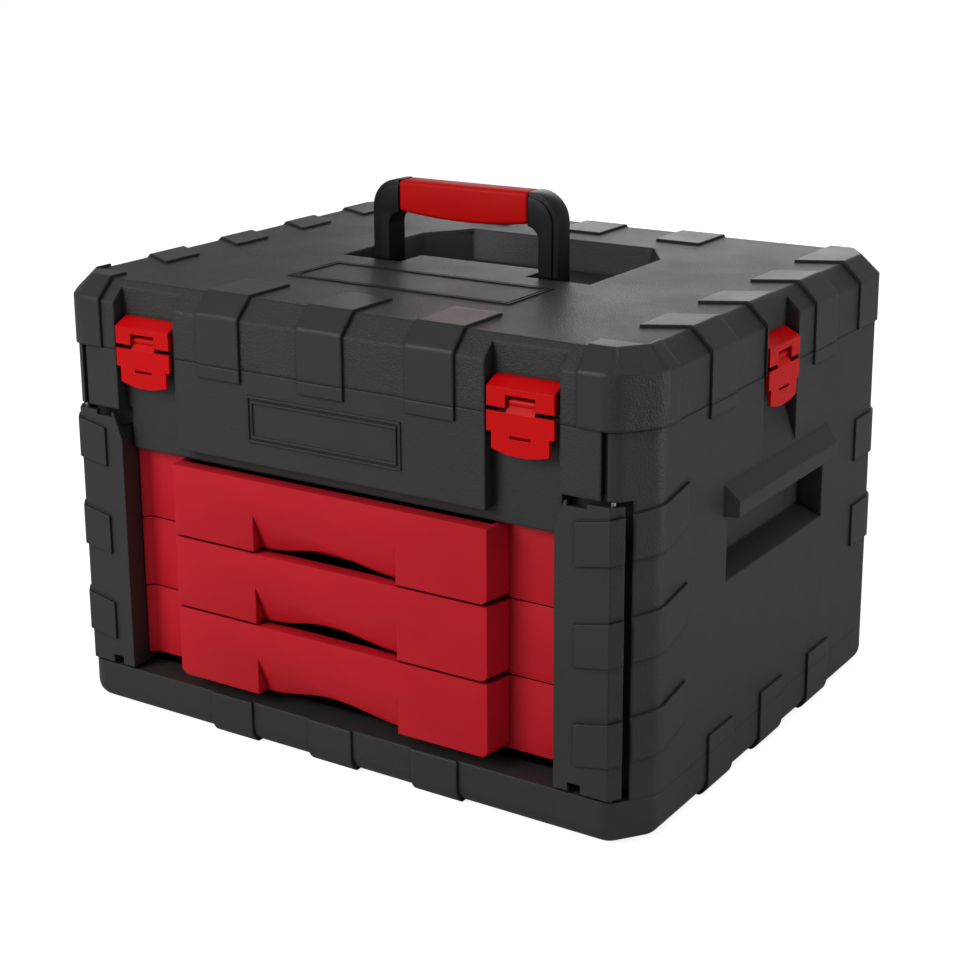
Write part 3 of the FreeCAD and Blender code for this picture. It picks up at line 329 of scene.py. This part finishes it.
# Red acetal for the latches: hard, smooth and slippery, so its highlights are tight.
LATCH = moulded("acetal_red_smooth", "d2080c", 0.3, 0.8, 0.03, 0.5, 0.12)
# Satin nylon of the handle's frame.
NYLON = moulded("nylon_black_satin", "111111", 0.3, 0.8, 0.04, 0.8, 0.3)
# Soft overmoulded grip: rubbery and matt.
GRIP = moulded("elastomer_red_matt", "c40c08", 0.46, 1.0, 0.06, 0.8, 0.1)
print("plastics made")

# %% [markdown]
# ## Steel
# The hinge pins, the handle's pins and the screws are zinc plated steel. It is drawn as wire
# first, which leaves a soft, uneven shine.


# %% Steel
def drawn_steel():
    """A metal whose shine changes over a millimetre or so."""
    material = bpy.data.materials.new("steel_zinc_plated")
    material.use_nodes = True
    tree = material.node_tree
    shader = tree.nodes["Principled BSDF"]
    place = add(tree, "ShaderNodeTexCoord").outputs["Object"]
    cloud = add(tree, "ShaderNodeTexNoise", {"Vector": place, "Scale": 900.0, "Detail": 3.0,
                                              "Roughness": 0.6})
    rough = add(tree, "ShaderNodeMapRange", {"Value": cloud.outputs["Fac"],
                                              "To Min": 0.28, "To Max": 0.44})
    tree.links.new(rough.outputs["Result"], shader.inputs["Roughness"])
    shader.inputs["Base Color"].default_value = linear("b9bbbd")
    shader.inputs["Metallic"].default_value = 1
    return material


STEEL = drawn_steel()
print("metal made")

# %% [markdown]
# ## Giving each piece its finish
# The record lists a slot for every piece, such as black_shell. Each slot has one material,
# apart from the black shell, whose pads are found by planes that differ on the lid and flaps.

# %% Finish for each slot
FINISHES = {
    "black_shell": SHELL,
    "inner_black": LINER,
    "red_drawer": DRAWER,
    "red_latch": LATCH,
    "steel_pin": STEEL,
    "black_handle": NYLON,
    "red_grip": GRIP,
}
OWN_FINISH = {"lid_shell": LID, "flap_left": FLAP, "flap_right": FLAP}
SLOT_OF = {row["node"]: row["material_slot"] for row in frame["record"]["subparts"]}


def set_material(piece, material):
    piece.data.materials.clear()
    piece.data.materials.append(material)


for name, piece in NODES.items():
    set_material(piece, OWN_FINISH.get(name, FINISHES[SLOT_OF[name]]))
print(len(FINISHES), "slots,", len(OWN_FINISH), "pieces with a finish of their own")

# %% [markdown]
# ## Solids from outlines
# The drawers and the handle get the fine shapes that their moulds have: an arched finger pull
# and rounded edges. They are built from outlines in millimetres, as the mould maker would draw
# them. A corner that is given a radius becomes an arc, and an outline drawn out along an axis
# becomes a solid.

# %% Helpers for solids
# Depths are counted back from the front wall of the chest, which lies here.
FRONT_Y = -186.25


def rounded(corners, steps=6):
    """A closed outline whose corners (across, up, radius) are replaced by arcs."""
    outline = []
    for index, (across, up, radius) in enumerate(corners):
        here = Vector((across, up))
        if not radius:
            outline.append(here)
            continue
        before = (Vector(corners[index - 1][:2]) - here).normalized()
        after = (Vector(corners[(index + 1) % len(corners)][:2]) - here).normalized()
        half = before.angle(after) / 2
        centre = here + (before + after).normalized() * (radius / math.sin(half))
        first = here + before * (radius / math.tan(half)) - centre
        last = here + after * (radius / math.tan(half)) - centre
        turn = first.angle_signed(last)
        for step in range(steps + 1):
            angle = -turn * step / steps
            arm = Vector((first.x * math.cos(angle) - first.y * math.sin(angle),
                          first.x * math.sin(angle) + first.y * math.cos(angle)))
            outline.append(centre + arm)
    return outline


def solid(outline, axis, low, high, far_outline=None):
    """A prism between two levels of an axis, in mm. A second outline makes it taper."""
    def placed(point, level):
        spots = {"x": (level, point[0], point[1]), "y": (point[0], level, point[1]),
                 "z": (point[0], point[1], level)}
        across, deep, up = spots[axis]
        return Vector((across, deep + FRONT_Y, up)) * MM

    grid = bmesh.new()
    near_loop = [grid.verts.new(placed(point, low)) for point in outline]
    far_loop = [grid.verts.new(placed(point, high)) for point in far_outline or outline]
    grid.faces.new(near_loop)
    grid.faces.new(far_loop[::-1])
    count = len(near_loop)
    for index in range(count):
        after = (index + 1) % count
        grid.faces.new((near_loop[index], far_loop[index], far_loop[after], near_loop[after]))
    bmesh.ops.recalc_face_normals(grid, faces=grid.faces)
    mesh = bpy.data.meshes.new("solid")
    grid.to_mesh(mesh)
    grid.free()
    piece = bpy.data.objects.new("solid", mesh)
    bpy.context.scene.collection.objects.link(piece)
    return piece


def block(across, deep, up):
    """A box between two values on each axis."""
    outline = [(across[0], deep[0]), (across[1], deep[0]),
               (across[1], deep[1]), (across[0], deep[1])]
    return solid(outline, "z", up[0], up[1])


print("depths are counted from", FRONT_Y, "mm")

# %% [markdown]
# ## Joining, cutting and easing
# Solids are joined and cut with exact booleans, and then a small bevel eases every edge, as the
# polish on a mould does. Each step is baked into the mesh at once, so that a finished piece has
# no live modifier. It then takes the place of the plainer piece of the finished model, with
# the same body and slot, so that it moves as that one did.

# %% Helpers for finished pieces
BEVEL_FROM = math.radians(35)
SHARP_FROM = math.radians(32)


def settled(piece):
    """Replaces a piece's mesh by what its modifiers make, and drops the modifiers."""
    bpy.context.view_layer.update()
    seen = piece.evaluated_get(bpy.context.evaluated_depsgraph_get())
    mesh = bpy.data.meshes.new_from_object(seen)
    piece.modifiers.clear()
    piece.data = mesh


def combined(kind, piece, *tools):
    """Joins pieces to the first one, or cuts them from it."""
    for tool in tools:
        modifier = piece.modifiers.new("boolean", "BOOLEAN")
        modifier.operation = kind
        modifier.solver = "EXACT"
        modifier.object = tool
    settled(piece)
    for tool in tools:
        bpy.data.objects.remove(tool)
    return piece


def smoothed(piece):
    """Shades a piece smooth and keeps its sharp edges."""
    piece.data.shade_smooth()
    piece.data.set_sharp_from_angle(angle=SHARP_FROM)
    return piece


def eased(piece, width, segments):
    """Rounds every sharp edge by a width in mm and smooths what is left."""
    modifier = piece.modifiers.new("edges", "BEVEL")
    modifier.limit_method = "ANGLE"
    modifier.angle_limit = BEVEL_FROM
    modifier.width = width * MM
    modifier.segments = segments
    settled(piece)
    return smoothed(piece)


def stands_for(piece, node, body, material):
    """The piece takes a node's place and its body."""
    piece.name = node + "_detailed"
    set_material(piece, material)
    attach(piece, body)
    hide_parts(node)
    return piece


print("edges over", round(math.degrees(BEVEL_FROM)), "degrees are eased")

# %% [markdown]
# ## Drawers: sizes and outlines
# A drawer is one moulding: a bin with a flange across its front and a hollow box before the
# flange, which is what the hand sees. The finger pull is a slope pressed into that box. Its
# lower edge rises in a soft arch, so that fingers find it in the dark. The sizes are in
# millimetres: up from the drawer's underside, and back from the front of the chest.

# %% Sizes and outlines of a drawer
DRAWER_HIGH = 48.0
SKIN = 2.4
# The box before the flange, which widens a little towards it, and the rim on top of it.
FACE = -3.0
FACE_HALF = 120.3
ROOT_HALF = 124.0
BOX_LOW = 0.7
BOX_CORNER = 5
RIM_BACK = 7.0
# The flange, whose two ends lean forward to a tip.
FLANGE_HALF = 164.4
FLANGE_FRONT, FLANGE_FRONT_HALF = 17.8, 159.8
FLANGE_REAR, FLANGE_REAR_HALF = 20.8, 160.8
TIP_FRONT, TIP_REAR = 13.2, 16.8
# The pull in the box.
PULL_HALF = 55.0
PULL_TOP = 25.0
PULL_BACK = 6.0
ARCH_RISE = 7.5
ARCH_STEPS = 28
# The bin behind the flange and the ribs that it slides on.
BIN_HALF = 156
BIN_REAR = 338
BIN_LOW = 2
BIN_FLOOR = 4.4
RIB_IN, RIB_OUT = 155, 164.7
RIB_LOW, RIB_HIGH = 42, 44.6


def arch_outline():
    """Level at both ends and highest in the middle, as a cosine is."""
    reach = PULL_HALF - 1
    crown = []
    for step in range(ARCH_STEPS + 1):
        across = -reach + 2 * reach * step / ARCH_STEPS
        lift = ARCH_RISE * (1 + math.cos(math.pi * across / reach)) / 2
        crown.append((across, BOX_LOW + lift))
    return [(-reach, -1)] + crown + [(reach, -1)]


def box_outline(half):
    """The box seen from the front: sharp above and rounded below."""
    return rounded([(-half, BOX_LOW, BOX_CORNER), (half, BOX_LOW, BOX_CORNER),
                    (half, DRAWER_HIGH, 0), (-half, DRAWER_HIGH, 0)])


def flange_outline():
    """The flange seen from above."""
    return [(-FLANGE_HALF, TIP_FRONT), (-FLANGE_FRONT_HALF, FLANGE_FRONT),
            (FLANGE_FRONT_HALF, FLANGE_FRONT), (FLANGE_HALF, TIP_FRONT),
            (FLANGE_HALF, TIP_REAR), (FLANGE_REAR_HALF, FLANGE_REAR),
            (-FLANGE_REAR_HALF, FLANGE_REAR), (-FLANGE_HALF, TIP_REAR)]


print("arch of", len(arch_outline()), "points")

# %% [markdown]
# ## Drawers: one pattern, three pieces
# The outer shape is joined first and the hollow is cut from it in one go. What is left solid
# in the hollow is the wall behind the pull. The three drawers are one shape, so it is made
# once and copied to its three heights.


# %% Drawers
def drawer_hollow():
    """The room inside the box, less the wall behind the pull."""
    mouth = [(-FACE_HALF + SKIN, FACE + SKIN), (FACE_HALF - SKIN, FACE + SKIN),
             (ROOT_HALF - SKIN, FLANGE_REAR + 1), (-ROOT_HALF + SKIN, FLANGE_REAR + 1)]
    hollow = solid(mouth, "z", BIN_FLOOR, DRAWER_HIGH - SKIN)
    gap = block((-FACE_HALF + SKIN, FACE_HALF - SKIN), (RIM_BACK, FLANGE_REAR + 1),
                (DRAWER_HIGH - SKIN - 1, DRAWER_HIGH + 1))
    combined("UNION", hollow, gap)
    ceiling = BOX_LOW + ARCH_RISE + SKIN
    kept = [(FACE - 1, PULL_TOP + SKIN), (FACE + SKIN, PULL_TOP + SKIN),
            (PULL_BACK + SKIN, ceiling), (FLANGE_REAR, ceiling), (FLANGE_REAR, -1), (FACE - 1, -1)]
    return combined("DIFFERENCE", hollow, solid(kept, "x", -PULL_HALF - SKIN, PULL_HALF + SKIN))


def make_drawer():
    drawer = solid(flange_outline(), "z", 0, DRAWER_HIGH)
    box = solid(box_outline(FACE_HALF), "y", FACE, FLANGE_FRONT + 1, box_outline(ROOT_HALF))
    bin_block = block((-BIN_HALF, BIN_HALF), (FLANGE_FRONT + 0.5, BIN_REAR),
                      (BIN_LOW, DRAWER_HIGH - 1))
    ribs = [block(span, (FLANGE_REAR + 1.5, BIN_REAR), (RIB_LOW, RIB_HIGH))
            for span in ((-RIB_OUT, -RIB_IN), (RIB_IN, RIB_OUT))]
    combined("UNION", drawer, box, bin_block, *ribs)
    inside = block((-BIN_HALF + SKIN, BIN_HALF - SKIN), (FLANGE_REAR, BIN_REAR - SKIN),
                   (BIN_FLOOR, DRAWER_HIGH + 1))
    slope = [(FACE - 1, PULL_TOP), (FACE, PULL_TOP), (PULL_BACK, BOX_LOW), (PULL_BACK, -1),
             (FACE - 1, -1)]
    combined("DIFFERENCE", drawer, drawer_hollow(), inside,
             solid(slope, "x", -PULL_HALF, PULL_HALF),
             solid(arch_outline(), "y", FACE - 1, FLANGE_FRONT))
    return eased(drawer, 0.5, 2)


PATTERN = make_drawer()
for name in ("drawer_top", "drawer_middle", "drawer_bottom"):
    copy = bpy.data.objects.new(name, PATTERN.data.copy())
    bpy.context.scene.collection.objects.link(copy)
    copy.data.transform(Matrix.Translation((0, 0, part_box(name)[0][2])))
    stands_for(copy, name, name, DRAWER)
print("three drawers of", len(PATTERN.data.polygons), "faces")
bpy.data.objects.remove(PATTERN)

# %% [markdown]
# ## Handle
# The frame is a bail with two legs that turn on pins. A low ridge runs along its broad faces,
# its edges are well rounded for the hand, and each leg ends in a round foot about its pin. A
# thin core joins the legs inside the grip.

# %% Handle frame
HANDLE_MIDDLE = 165.0
HALF_DEPTH = 9.2
HANDLE_TOP = 352.0
HANDLE_UNDER = 330
PIVOT_UP = 287.0
LEG_OUT = 72.6
LEG_IN = 59.0
OUTER_CORNER = 20
INNER_CORNER = 9
RIDGE_HIGH = 1.3
RIDGE_IN = 3.6
FOOT_STEPS = 40
GRIP_HALF = 51.0
CORE_HALF = 5.5
CORE_LOW, CORE_HIGH = 334.5, 346


def bail_outline(inset):
    """The frame seen from the front, with its outer edge drawn in by an inset."""
    out, top, corner = LEG_OUT - inset, HANDLE_TOP - inset, OUTER_CORNER - inset
    return rounded([(-out, PIVOT_UP, 0), (-LEG_IN, PIVOT_UP, 0),
                    (-LEG_IN, HANDLE_UNDER, INNER_CORNER), (LEG_IN, HANDLE_UNDER, INNER_CORNER),
                    (LEG_IN, PIVOT_UP, 0), (out, PIVOT_UP, 0),
                    (out, top, corner), (-out, top, corner)], 10)


def make_handle_frame():
    front, rear = HANDLE_MIDDLE - HALF_DEPTH, HANDLE_MIDDLE + HALF_DEPTH
    bail = solid(bail_outline(0), "y", front + RIDGE_HIGH, rear - RIDGE_HIGH)
    combined("UNION", bail, solid(bail_outline(RIDGE_IN), "y", front, rear))
    foot = HALF_DEPTH - RIDGE_HIGH
    turns = [math.tau * step / FOOT_STEPS for step in range(FOOT_STEPS)]
    circle = [(HANDLE_MIDDLE + foot * math.cos(turn), PIVOT_UP + foot * math.sin(turn))
              for turn in turns]
    feet = [solid(circle, "x", low, high) for low, high in ((-LEG_OUT, -LEG_IN), (LEG_IN, LEG_OUT))]
    combined("UNION", bail, *feet)
    eased(bail, 1.2, 3)
    combined("DIFFERENCE", bail, block((-GRIP_HALF, GRIP_HALF), (150, 180), (320, 360)))
    core = block((-GRIP_HALF - 3, GRIP_HALF + 3),
                 (HANDLE_MIDDLE - CORE_HALF, HANDLE_MIDDLE + CORE_HALF), (CORE_LOW, CORE_HIGH))
    combined("UNION", bail, core)
    smoothed(bail)
    return bail


FRAME = stands_for(make_handle_frame(), "handle_frame", "handle", NYLON)
print("handle frame of", len(FRAME.data.polygons), "faces")

# %% [markdown]
# ## Grip
# The red grip is moulded round the frame's core. It is level with the frame on top and has a
# belly under the fingers, deepest in the middle.

# %% Grip
GRIP_TOP = 351.9
GRIP_UNDER = 331
GRIP_HALF_DEPTH = 9.1
BELLY = 3.6
BELLY_STEPS = 24


def make_grip():
    belly = []
    for step in range(BELLY_STEPS + 1):
        across = -GRIP_HALF + 2 * GRIP_HALF * step / BELLY_STEPS
        belly.append((across, GRIP_UNDER - BELLY * (1 - (across / GRIP_HALF) ** 2)))
    outline = belly + [(GRIP_HALF, GRIP_TOP), (-GRIP_HALF, GRIP_TOP)]
    block_of_rubber = solid(outline, "y", HANDLE_MIDDLE - GRIP_HALF_DEPTH,
                            HANDLE_MIDDLE + GRIP_HALF_DEPTH)
    return eased(block_of_rubber, 2.8, 4)


SLEEVE = stands_for(make_grip(), "handle_grip", "handle", GRIP)
print("grip of", len(SLEEVE.data.polygons), "faces")

# %% [markdown]
# ## The shape of a screw
# Six screws hold the base pan. A screw is a rule more than a shape: a head with a cross
# recess, a shank and a thread, the same six times. So the screw is built once from named
# sizes in a node tree and placed on six points. The thread is a row of thin rings, which is
# what a fine thread looks like from where anyone can see it.

# %% Screw tree
SCREW_SIZES = {
    "Head Radius": 4.0 * MM,
    "Head Height": 3.0 * MM,
    "Shank Radius": 1.75 * MM,
    "Shank Length": 34.0 * MM,
    "Thread Radius": 2.0 * MM,
    "Thread Pitch": 1.6 * MM,
    "Recess Width": 1.0 * MM,
    "Recess Span": 4.4 * MM,
    "Recess Depth": 1.6 * MM,
}
HEAD_SIDES = 40
SHANK_SIDES = 24
RING_SHARE = 0.4


def screw_head(tree, given):
    """A round head that stands on the height 0, with a cross cut into it from below."""
    head = add(tree, "GeometryNodeMeshCylinder",
               {"Vertices": HEAD_SIDES, "Radius": given["Head Radius"],
                "Depth": given["Head Height"]}).outputs["Mesh"]
    half = add(tree, "ShaderNodeMath", {0: given["Head Height"], 1: 0.5},
               operation="MULTIPLY").outputs[0]
    up = add(tree, "ShaderNodeCombineXYZ", {"Z": half}).outputs[0]
    head = add(tree, "GeometryNodeTransform", {"Geometry": head, "Translation": up}).outputs[0]
    deep = add(tree, "ShaderNodeMath", {0: given["Recess Depth"], 1: 2.0},
               operation="MULTIPLY").outputs[0]
    cross = add(tree, "GeometryNodeMeshBoolean", operation="UNION", solver="EXACT")
    for across, along in (("Recess Width", "Recess Span"), ("Recess Span", "Recess Width")):
        extent = add(tree, "ShaderNodeCombineXYZ",
                     {"X": given[across], "Y": given[along], "Z": deep}).outputs[0]
        bar = add(tree, "GeometryNodeMeshCube", {"Size": extent}).outputs["Mesh"]
        tree.links.new(bar, cross.inputs["Mesh 2"])
    return add(tree, "GeometryNodeMeshBoolean",
               {"Mesh 1": head, "Mesh 2": cross.outputs["Mesh"]},
               operation="DIFFERENCE", solver="EXACT").outputs["Mesh"]


def screw_shank(tree, given):
    """A plain round bar above the head."""
    shank = add(tree, "GeometryNodeMeshCylinder",
                {"Vertices": SHANK_SIDES, "Radius": given["Shank Radius"],
                 "Depth": given["Shank Length"]}).outputs["Mesh"]
    half = add(tree, "ShaderNodeMath", {0: given["Shank Length"], 1: 0.5},
               operation="MULTIPLY").outputs[0]
    middle = add(tree, "ShaderNodeMath", {0: half, 1: given["Head Height"]},
                 operation="ADD").outputs[0]
    up = add(tree, "ShaderNodeCombineXYZ", {"Z": middle}).outputs[0]
    return add(tree, "GeometryNodeTransform", {"Geometry": shank, "Translation": up}).outputs[0]


def screw_thread(tree, given):
    """Thin rings up the shank, one for each turn of the thread."""
    pitch = given["Thread Pitch"]
    length = add(tree, "ShaderNodeMath", {0: given["Shank Length"], 1: pitch},
                 operation="DIVIDE").outputs[0]
    turns = add(tree, "ShaderNodeMath", {0: length}, operation="FLOOR").outputs[0]
    first = add(tree, "ShaderNodeMath", {0: pitch, 1: 0.5, 2: given["Head Height"]},
                operation="MULTIPLY_ADD").outputs[0]
    start = add(tree, "ShaderNodeCombineXYZ", {"Z": first}).outputs[0]
    step = add(tree, "ShaderNodeCombineXYZ", {"Z": pitch}).outputs[0]
    rungs = add(tree, "GeometryNodeMeshLine",
                {"Count": turns, "Start Location": start, "Offset": step}).outputs["Mesh"]
    high = add(tree, "ShaderNodeMath", {0: pitch, 1: RING_SHARE}, operation="MULTIPLY").outputs[0]
    ring = add(tree, "GeometryNodeMeshCone",
               {"Vertices": SHANK_SIDES, "Radius Top": given["Shank Radius"],
                "Radius Bottom": given["Thread Radius"], "Depth": high}).outputs["Mesh"]
    return add(tree, "GeometryNodeInstanceOnPoints",
               {"Points": rungs, "Instance": ring}).outputs["Instances"]


def screw_tree():
    tree = bpy.data.node_groups.new("cross_head_screws", "GeometryNodeTree")
    face = tree.interface
    face.new_socket("Places", in_out="INPUT", socket_type="NodeSocketGeometry")
    for label in SCREW_SIZES:
        face.new_socket(label, in_out="INPUT", socket_type="NodeSocketFloat")
    face.new_socket("Material", in_out="INPUT", socket_type="NodeSocketMaterial")
    face.new_socket("Screws", in_out="OUTPUT", socket_type="NodeSocketGeometry")
    given = add(tree, "NodeGroupInput").outputs
    screw = add(tree, "GeometryNodeJoinGeometry")
    for part in (screw_head, screw_shank, screw_thread):
        tree.links.new(part(tree, given), screw.inputs[0])
    placed = add(tree, "GeometryNodeInstanceOnPoints",
                 {"Points": given["Places"], "Instance": screw.outputs[0]}).outputs["Instances"]
    real = add(tree, "GeometryNodeRealizeInstances", {"Geometry": placed}).outputs[0]
    finish = add(tree, "GeometryNodeSetMaterial", {"Geometry": real, "Material": given["Material"]})
    add(tree, "NodeGroupOutput", {"Screws": finish.outputs[0]})
    print("screw tree of", len(tree.nodes), "nodes")
    return tree


# %% [markdown]
# ## Six screws under the base
# The tree runs on six points, in two rows of three where the base pan has its bosses. What it
# makes is kept as a plain mesh.


# %% Six screws
def grown(name, tree, points, values):
    """Runs a node tree on some points and keeps what it makes as a plain mesh."""
    seeds = bpy.data.meshes.new(name + "_points")
    seeds.from_pydata(points, [], [])
    holder = bpy.data.objects.new(name + "_seeds", seeds)
    bpy.context.scene.collection.objects.link(holder)
    modifier = holder.modifiers.new("grow", "NODES")
    modifier.node_group = tree
    for item in tree.interface.items_tree:
        if item.in_out == "INPUT" and item.name in values:
            modifier[item.identifier] = values[item.name]
    seen = holder.evaluated_get(bpy.context.evaluated_depsgraph_get())
    mesh = bpy.data.meshes.new_from_object(seen)
    bpy.data.objects.remove(holder)
    piece = bpy.data.objects.new(name, mesh)
    bpy.context.scene.collection.objects.link(piece)
    return piece


def middles(node, count):
    """The places of the pieces of a node that stand in two rows along the chest."""
    low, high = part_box(node)
    radius = SCREW_SIZES["Head Radius"]
    near_end, far_end = low[1] + radius, high[1] - radius
    rows = [near_end + (far_end - near_end) * step / (count - 1) for step in range(count)]
    return [(x, y, low[2]) for x in (low[0] + radius, high[0] - radius) for y in rows]


def make_screws():
    values = dict(SCREW_SIZES, Material=STEEL)
    screws = grown("base_screws_threaded", screw_tree(), middles("base_screws", 3), values)
    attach(screws, "body")
    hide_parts("base_screws")
    return screws


SCREWS = make_screws()
print("screws", len(SCREWS.data.polygons), "faces")

# %% [markdown]
# ## View
# The picture shows colours as they are written, so the view transform is the plain one.

# %% View settings
bpy.context.scene.view_settings.view_transform = "Standard"
